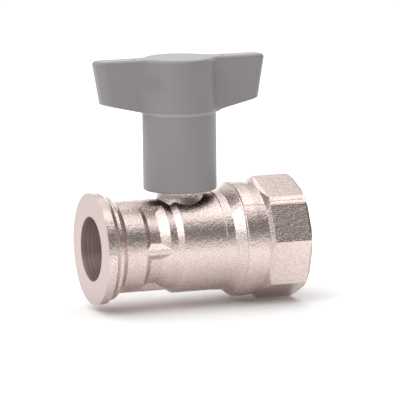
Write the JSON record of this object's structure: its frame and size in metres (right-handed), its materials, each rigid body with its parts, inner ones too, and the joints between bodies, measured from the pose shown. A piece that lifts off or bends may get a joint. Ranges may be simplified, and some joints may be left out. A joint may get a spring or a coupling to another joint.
{
  "type": "pump ball valve",
  "caption": "Ball valve for a circulating pump: union flange face on one end, internal pipe thread in an octagonal end on the other, and a winged handle on a long skirt.",
  "frame": {"origin": "centre of the waterway at the flat union face of the flange", "axes": "+X along the flow from the flange face to the threaded end, +Z along the stem from the waterway to the handle, +Y across; stored open"},
  "size_m": [0.0833, 0.0486, 0.0973],
  "materials": {
    "nickel_plated_brass": "blasted, nickel plated, satin",
    "chromed_ball": "polished",
    "plain_brass": "turned",
    "steel_screw": "zinc plated",
    "grey_plastic": "satin moulded",
    "grey_plastic_cap": "satin moulded",
    "white_seat_plastic": "smooth",
    "black_rubber": "matt"
  },
  "bodies": {
    "valve": {"valve_body": "nickel_plated_brass", "end_connector": "nickel_plated_brass", "seat_ring_flange_side": "white_seat_plastic", "seat_ring_thread_side": "white_seat_plastic", "joint_o_ring": "black_rubber", "stem_thrust_washer": "white_seat_plastic"},
    "handle_and_stem": {"handle": "grey_plastic", "handle_cap": "grey_plastic_cap", "handle_screw": "steel_screw", "handle_screw_washer": "steel_screw", "stem": "plain_brass", "stem_o_ring_lower": "black_rubber", "stem_o_ring_upper": "black_rubber"},
    "ball": {"ball": "chromed_ball"}
  },
  "joints": [
    {"name": "handle_turn", "type": "hinge", "parent": "valve", "child": "handle_and_stem", "pos_m": [0.037, 0, 0.03], "axis": [0, 0, 1], "range_deg": [-90, 0]},
    {"name": "ball_turn", "type": "hinge", "parent": "valve", "child": "ball", "pos_m": [0.037, 0, 0], "axis": [0, 0, 1], "range_deg": [-90, 0]}
  ],
  "couplings": [
    {"joint": "ball_turn", "follows": "handle_turn", "ratio": 1}
  ]
}
